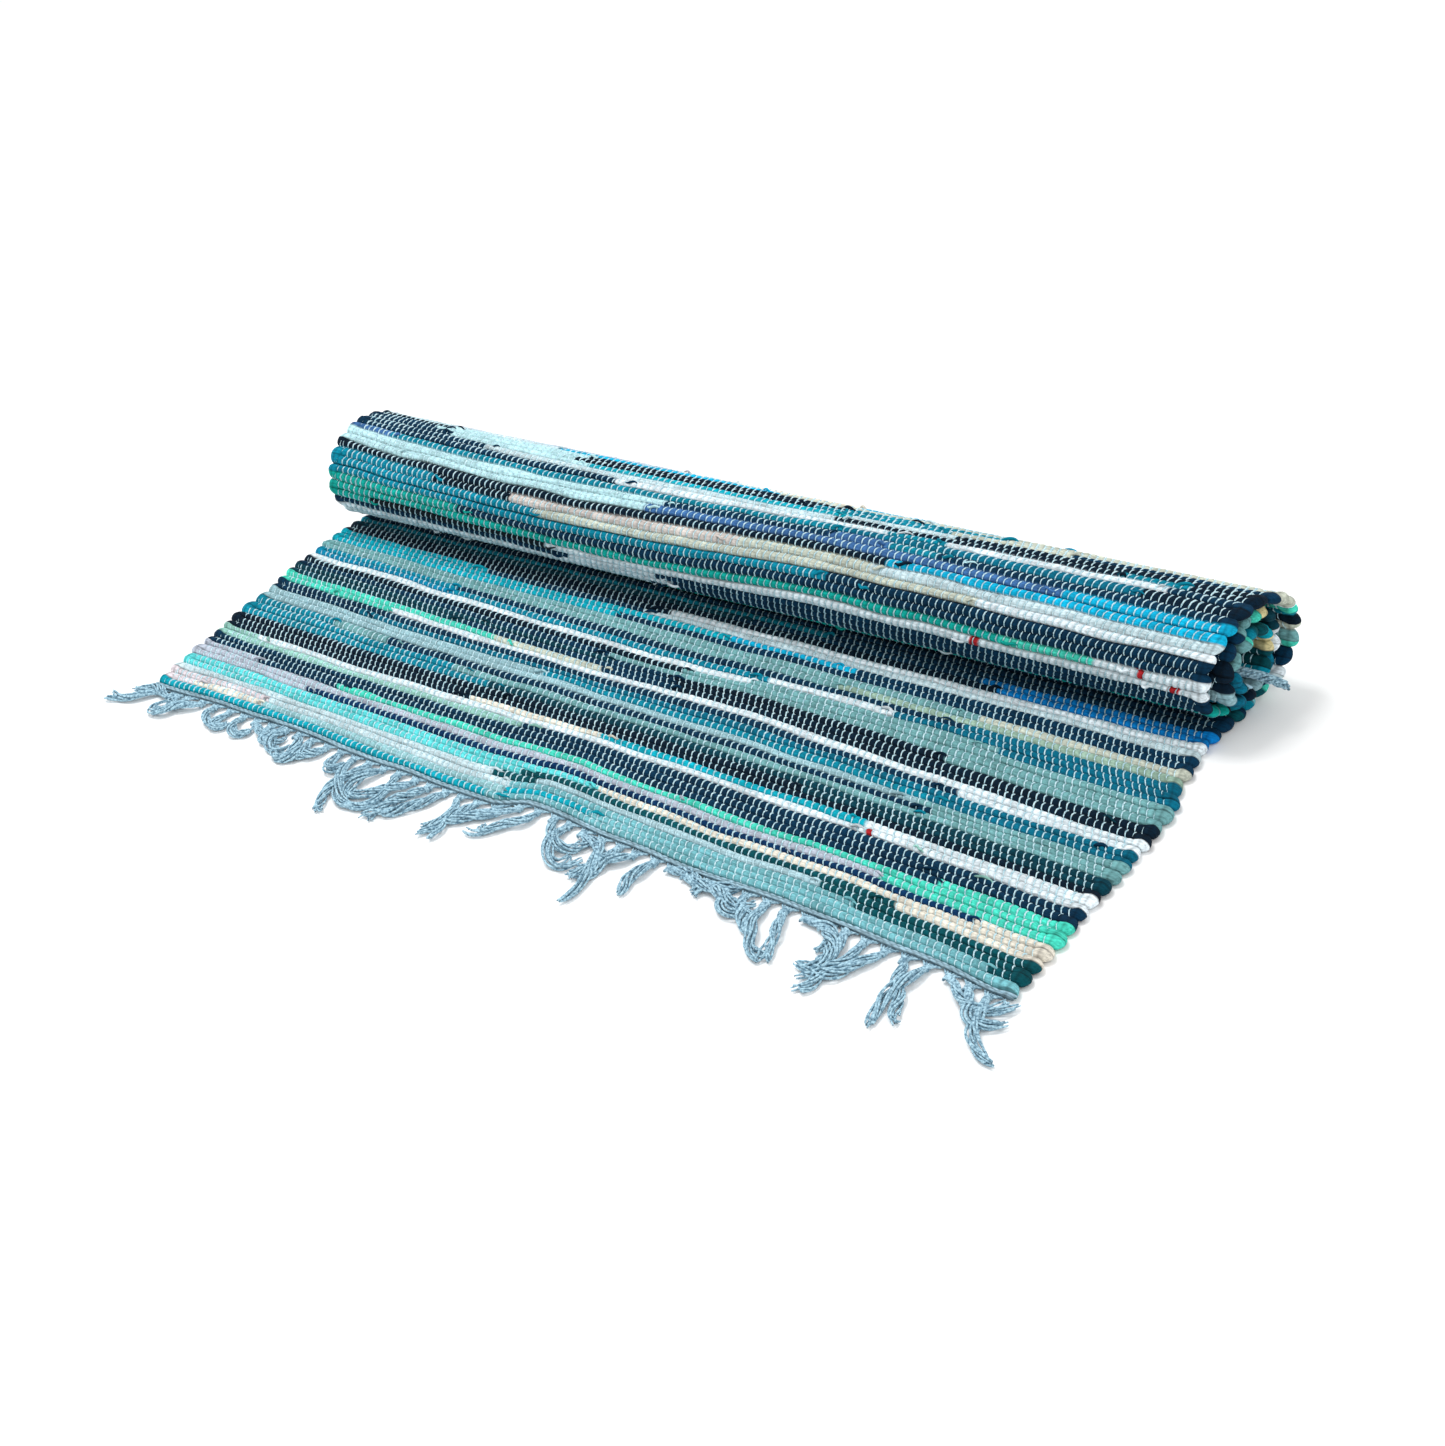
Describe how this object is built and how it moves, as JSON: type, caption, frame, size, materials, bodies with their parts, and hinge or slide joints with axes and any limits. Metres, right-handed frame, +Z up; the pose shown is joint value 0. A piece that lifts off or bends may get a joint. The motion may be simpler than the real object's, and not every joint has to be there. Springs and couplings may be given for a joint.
{
  "type": "bath mat",
  "caption": "Woven rag-rug bath mat with knotted cotton fringes, lying flat in front and rolled up at the back; the roll opens out flat.",
  "frame": {"origin": "on the underside, in the middle of the flat part", "axes": "+X along the roll from the left selvage to the right, +Y from the front edge towards the roll, +Z up"},
  "size_m": [0.6093, 0.3507, 0.071],
  "materials": {
    "rag_seafoam_weave": "matt cotton jersey rags woven on a dark cotton warp",
    "rag_cream_turquoise_weave": "matt cotton jersey rags woven on a dark cotton warp",
    "rag_lavender_navy_weave": "matt cotton jersey rags woven on a dark cotton warp",
    "rag_mint_weave": "matt cotton jersey rags woven on a dark cotton warp",
    "rag_sage_white_weave": "matt cotton jersey rags woven on a dark cotton warp",
    "rag_black_navy_weave": "matt cotton jersey rags woven on a dark cotton warp",
    "rag_teal_weave": "matt cotton jersey rags woven on a dark cotton warp",
    "rag_pale_blue_weave": "matt cotton jersey rags woven on a dark cotton warp",
    "rag_dark_navy_weave": "matt cotton jersey rags woven on a dark cotton warp",
    "rag_mint_white_weave": "matt cotton jersey rags woven on a dark cotton warp",
    "rag_navy_weave": "matt cotton jersey rags woven on a dark cotton warp",
    "rag_white_sage_weave": "matt cotton jersey rags woven on a dark cotton warp",
    "rag_teal_blue_weave": "matt cotton jersey rags woven on a dark cotton warp",
    "rag_beige_turquoise_weave": "matt cotton jersey rags woven on a dark cotton warp",
    "rag_tuck_under_weave": "matt cotton jersey rags woven on a dark cotton warp",
    "warp_cotton": "matt plied cotton yarn",
    "rag_teal": "matt cotton jersey rags woven on a dark cotton warp",
    "rag_navy": "matt cotton jersey rags woven on a dark cotton warp",
    "rag_white": "matt cotton jersey rags woven on a dark cotton warp",
    "rag_emerald": "matt cotton jersey rags woven on a dark cotton warp",
    "rag_pale_blue": "matt cotton jersey rags woven on a dark cotton warp",
    "rag_beige": "matt cotton jersey rags woven on a dark cotton warp"
  },
  "bodies": {
    "root": {"front_fringe": "warp_cotton", "front_knots": "warp_cotton", "front_header": "warp_cotton", "flat_strip_01_seafoam": "rag_seafoam_weave", "flat_strip_02_cream_turquoise": "rag_cream_turquoise_weave", "flat_strip_03_lavender_navy": "rag_lavender_navy_weave", "flat_strip_04_mint": "rag_mint_weave", "flat_strip_05_sage_white": "rag_sage_white_weave", "flat_strip_06_black_navy": "rag_black_navy_weave", "flat_strip_07_teal": "rag_teal_weave", "flat_strip_08_pale_blue": "rag_pale_blue_weave", "flat_strip_09_dark_navy": "rag_dark_navy_weave", "flat_strip_10_mint_white": "rag_mint_white_weave", "flat_strip_11_navy": "rag_navy_weave", "flat_strip_12_white_sage": "rag_white_sage_weave", "flat_strip_13_teal_blue": "rag_teal_blue_weave", "flat_strip_14_beige_turquoise": "rag_beige_turquoise_weave", "flat_strip_15_tuck_under": "rag_tuck_under_weave"},
    "roll_01": {"roll_strip_01": "rag_teal"},
    "roll_02": {"roll_strip_02": "rag_navy"},
    "roll_03": {"roll_strip_03": "rag_white"},
    "roll_04": {"roll_strip_04": "rag_emerald"},
    "roll_05": {"roll_strip_05": "rag_pale_blue"},
    "roll_06": {"roll_strip_06": "rag_beige"},
    "roll_07": {"roll_strip_07": "rag_teal"},
    "roll_08": {"roll_strip_08": "rag_navy"},
    "roll_09": {"roll_strip_09": "rag_white"},
    "roll_10": {"roll_strip_10": "rag_emerald"},
    "roll_11": {"roll_strip_11": "rag_pale_blue"},
    "roll_12": {"roll_strip_12": "rag_beige"},
    "roll_13": {"roll_strip_13": "rag_teal"},
    "roll_14": {"roll_strip_14": "rag_navy"},
    "roll_15": {"roll_strip_15": "rag_white"},
    "roll_16": {"roll_strip_16": "rag_emerald"},
    "roll_17": {"roll_strip_17": "rag_pale_blue"},
    "roll_18": {"roll_strip_18": "rag_beige"},
    "roll_19": {"roll_strip_19": "rag_teal"},
    "roll_20": {"roll_strip_20": "rag_navy"},
    "roll_21": {"roll_strip_21": "rag_white"},
    "roll_22": {"roll_strip_22": "rag_emerald"},
    "roll_23": {"roll_strip_23": "rag_pale_blue"},
    "roll_24": {"roll_strip_24": "rag_beige"},
    "roll_25": {"roll_strip_25": "rag_teal"},
    "roll_26": {"roll_strip_26": "rag_navy"},
    "roll_27": {"roll_strip_27": "rag_white"},
    "roll_28": {"roll_strip_28": "rag_emerald"},
    "roll_29": {"roll_strip_29": "rag_pale_blue"},
    "roll_30": {"roll_strip_30": "rag_beige"},
    "roll_31": {"roll_strip_31": "rag_teal"},
    "roll_32": {"roll_strip_32": "rag_navy"},
    "roll_33": {"roll_strip_33": "rag_white"},
    "roll_34": {"roll_strip_34": "rag_emerald"},
    "roll_35": {"roll_strip_35": "rag_pale_blue"},
    "rear_edge": {"rear_header": "warp_cotton", "rear_knots": "warp_cotton"},
    "rear_tassels": {"rear_fringe": "warp_cotton"}
  },
  "joints": [
    {"name": "bend_01", "type": "hinge", "parent": "root", "child": "roll_01", "pos_m": [0, 0.1122, 0.0028], "axis": [1, 0, 0], "range_deg": [-8.34, 0]},
    {"name": "bend_02", "type": "hinge", "parent": "roll_01", "child": "roll_02", "pos_m": [0, 0.12734, 0.00502], "axis": [1, 0, 0], "range_deg": [-18.04, 0]},
    {"name": "bend_03", "type": "hinge", "parent": "roll_02", "child": "roll_03", "pos_m": [0, 0.14105, 0.01181], "axis": [1, 0, 0], "range_deg": [-22.57, 0]},
    {"name": "bend_04", "type": "hinge", "parent": "roll_03", "child": "roll_04", "pos_m": [0, 0.1511, 0.02335], "axis": [1, 0, 0], "range_deg": [-29.84, 0]},
    {"name": "bend_05", "type": "hinge", "parent": "roll_04", "child": "roll_05", "pos_m": [0, 0.15407, 0.03836], "axis": [1, 0, 0], "range_deg": [-33.07, 0]},
    {"name": "bend_06", "type": "hinge", "parent": "roll_05", "child": "roll_06", "pos_m": [0, 0.14838, 0.05256], "axis": [1, 0, 0], "range_deg": [-27.38, 0]},
    {"name": "bend_07", "type": "hinge", "parent": "roll_06", "child": "roll_07", "pos_m": [0, 0.13679, 0.06255], "axis": [1, 0, 0], "range_deg": [-20.68, 0]},
    {"name": "bend_08", "type": "hinge", "parent": "roll_07", "child": "roll_08", "pos_m": [0, 0.12242, 0.06781], "axis": [1, 0, 0], "range_deg": [-17.59, 0]},
    {"name": "bend_09", "type": "hinge", "parent": "roll_08", "child": "roll_09", "pos_m": [0, 0.10714, 0.06847], "axis": [1, 0, 0], "range_deg": [-21.47, 0]},
    {"name": "bend_10", "type": "hinge", "parent": "roll_09", "child": "roll_10", "pos_m": [0, 0.09267, 0.0635], "axis": [1, 0, 0], "range_deg": [-25.88, 0]},
    {"name": "bend_11", "type": "hinge", "parent": "roll_10", "child": "roll_11", "pos_m": [0, 0.08182, 0.05271], "axis": [1, 0, 0], "range_deg": [-31.71, 0]},
    {"name": "bend_12", "type": "hinge", "parent": "roll_11", "child": "roll_12", "pos_m": [0, 0.07826, 0.03783], "axis": [1, 0, 0], "range_deg": [-34.61, 0]},
    {"name": "bend_13", "type": "hinge", "parent": "roll_12", "child": "roll_13", "pos_m": [0, 0.08379, 0.02356], "axis": [1, 0, 0], "range_deg": [-30.34, 0]},
    {"name": "bend_14", "type": "hinge", "parent": "roll_13", "child": "roll_14", "pos_m": [0, 0.09576, 0.01404], "axis": [1, 0, 0], "range_deg": [-24.85, 0]},
    {"name": "bend_15", "type": "hinge", "parent": "roll_14", "child": "roll_15", "pos_m": [0, 0.11063, 0.01043], "axis": [1, 0, 0], "range_deg": [-22.13, 0]},
    {"name": "bend_16", "type": "hinge", "parent": "roll_15", "child": "roll_16", "pos_m": [0, 0.12576, 0.01269], "axis": [1, 0, 0], "range_deg": [-24.07, 0]},
    {"name": "bend_17", "type": "hinge", "parent": "roll_16", "child": "roll_17", "pos_m": [0, 0.13866, 0.02092], "axis": [1, 0, 0], "range_deg": [-34.21, 0]},
    {"name": "bend_18", "type": "hinge", "parent": "roll_17", "child": "roll_18", "pos_m": [0, 0.14469, 0.03498], "axis": [1, 0, 0], "range_deg": [-43.73, 0]},
    {"name": "bend_19", "type": "hinge", "parent": "roll_18", "child": "roll_19", "pos_m": [0, 0.13934, 0.04931], "axis": [1, 0, 0], "range_deg": [-35.1, 0]},
    {"name": "bend_20", "type": "hinge", "parent": "roll_19", "child": "roll_20", "pos_m": [0, 0.12671, 0.05796], "axis": [1, 0, 0], "range_deg": [-24.48, 0]},
    {"name": "bend_21", "type": "hinge", "parent": "roll_20", "child": "roll_21", "pos_m": [0, 0.11164, 0.0606], "axis": [1, 0, 0], "range_deg": [-24.7, 0]},
    {"name": "bend_22", "type": "hinge", "parent": "roll_21", "child": "roll_22", "pos_m": [0, 0.09685, 0.05669], "axis": [1, 0, 0], "range_deg": [-33.52, 0]},
    {"name": "bend_23", "type": "hinge", "parent": "roll_22", "child": "roll_23", "pos_m": [0, 0.08667, 0.04527], "axis": [1, 0, 0], "range_deg": [-47.6, 0]},
    {"name": "bend_24", "type": "hinge", "parent": "roll_23", "child": "roll_24", "pos_m": [0, 0.08824, 0.03005], "axis": [1, 0, 0], "range_deg": [-44.73, 0]},
    {"name": "bend_25", "type": "hinge", "parent": "roll_24", "child": "roll_25", "pos_m": [0, 0.10006, 0.02035], "axis": [1, 0, 0], "range_deg": [-31.12, 0]},
    {"name": "bend_26", "type": "hinge", "parent": "roll_25", "child": "roll_26", "pos_m": [0, 0.1152, 0.01815], "axis": [1, 0, 0], "range_deg": [-24.04, 0]},
    {"name": "bend_27", "type": "hinge", "parent": "roll_26", "child": "roll_27", "pos_m": [0, 0.12502, 0.02092], "axis": [1, 0, 0], "range_deg": [-24.63, 0]},
    {"name": "bend_28", "type": "hinge", "parent": "roll_27", "child": "roll_28", "pos_m": [0, 0.13279, 0.02753], "axis": [1, 0, 0], "range_deg": [-37.09, 0]},
    {"name": "bend_29", "type": "hinge", "parent": "roll_28", "child": "roll_29", "pos_m": [0, 0.135, 0.03749], "axis": [1, 0, 0], "range_deg": [-43.1, 0]},
    {"name": "bend_30", "type": "hinge", "parent": "roll_29", "child": "roll_30", "pos_m": [0, 0.1298, 0.04627], "axis": [1, 0, 0], "range_deg": [-30.88, 0]},
    {"name": "bend_31", "type": "hinge", "parent": "roll_30", "child": "roll_31", "pos_m": [0, 0.12084, 0.05114], "axis": [1, 0, 0], "range_deg": [-21.65, 0]},
    {"name": "bend_32", "type": "hinge", "parent": "roll_31", "child": "roll_32", "pos_m": [0, 0.11072, 0.05236], "axis": [1, 0, 0], "range_deg": [-21.39, 0]},
    {"name": "bend_33", "type": "hinge", "parent": "roll_32", "child": "roll_33", "pos_m": [0, 0.10084, 0.0498], "axis": [1, 0, 0], "range_deg": [-30.9, 0]},
    {"name": "bend_34", "type": "hinge", "parent": "roll_33", "child": "roll_34", "pos_m": [0, 0.09368, 0.04254], "axis": [1, 0, 0], "range_deg": [-54.4, 0]},
    {"name": "bend_35", "type": "hinge", "parent": "roll_34", "child": "roll_35", "pos_m": [0, 0.09542, 0.03249], "axis": [1, 0, 0], "range_deg": [-46.96, 0]},
    {"name": "bend_36", "type": "hinge", "parent": "roll_35", "child": "rear_edge", "pos_m": [0, 0.10395, 0.0269], "axis": [1, 0, 0], "range_deg": [-23.89, 0]},
    {"name": "bend_37", "type": "hinge", "parent": "rear_edge", "child": "rear_tassels", "pos_m": [0, 0.11185, 0.0256], "axis": [1, 0, 0], "range_deg": [-26.79, 0]}
  ],
  "couplings": [
    {"joint": "bend_01", "follows": "bend_05", "ratio": 0.2521},
    {"joint": "bend_02", "follows": "bend_05", "ratio": 0.54547},
    {"joint": "bend_03", "follows": "bend_05", "ratio": 0.68242},
    {"joint": "bend_04", "follows": "bend_05", "ratio": 0.90253},
    {"joint": "bend_06", "follows": "bend_05", "ratio": 0.82817},
    {"joint": "bend_07", "follows": "bend_05", "ratio": 0.62535},
    {"joint": "bend_08", "follows": "bend_05", "ratio": 0.53206},
    {"joint": "bend_09", "follows": "bend_05", "ratio": 0.64922},
    {"joint": "bend_10", "follows": "bend_05", "ratio": 0.78256},
    {"joint": "bend_11", "follows": "bend_05", "ratio": 0.95891},
    {"joint": "bend_12", "follows": "bend_05", "ratio": 1.0468},
    {"joint": "bend_13", "follows": "bend_05", "ratio": 0.91759},
    {"joint": "bend_14", "follows": "bend_05", "ratio": 0.75164},
    {"joint": "bend_15", "follows": "bend_05", "ratio": 0.66933},
    {"joint": "bend_16", "follows": "bend_05", "ratio": 0.72785},
    {"joint": "bend_17", "follows": "bend_05", "ratio": 1.0346},
    {"joint": "bend_18", "follows": "bend_05", "ratio": 1.3226},
    {"joint": "bend_19", "follows": "bend_05", "ratio": 1.0615},
    {"joint": "bend_20", "follows": "bend_05", "ratio": 0.74044},
    {"joint": "bend_21", "follows": "bend_05", "ratio": 0.74688},
    {"joint": "bend_22", "follows": "bend_05", "ratio": 1.0136},
    {"joint": "bend_23", "follows": "bend_05", "ratio": 1.4396},
    {"joint": "bend_24", "follows": "bend_05", "ratio": 1.3528},
    {"joint": "bend_25", "follows": "bend_05", "ratio": 0.94106},
    {"joint": "bend_26", "follows": "bend_05", "ratio": 0.72691},
    {"joint": "bend_27", "follows": "bend_05", "ratio": 0.74495},
    {"joint": "bend_28", "follows": "bend_05", "ratio": 1.1218},
    {"joint": "bend_29", "follows": "bend_05", "ratio": 1.3034},
    {"joint": "bend_30", "follows": "bend_05", "ratio": 0.93403},
    {"joint": "bend_31", "follows": "bend_05", "ratio": 0.6548},
    {"joint": "bend_32", "follows": "bend_05", "ratio": 0.64679},
    {"joint": "bend_33", "follows": "bend_05", "ratio": 0.93463},
    {"joint": "bend_34", "follows": "bend_05", "ratio": 1.6451},
    {"joint": "bend_35", "follows": "bend_05", "ratio": 1.4203},
    {"joint": "bend_36", "follows": "bend_05", "ratio": 0.72258},
    {"joint": "bend_37", "follows": "bend_05", "ratio": 0.81016}
  ]
}
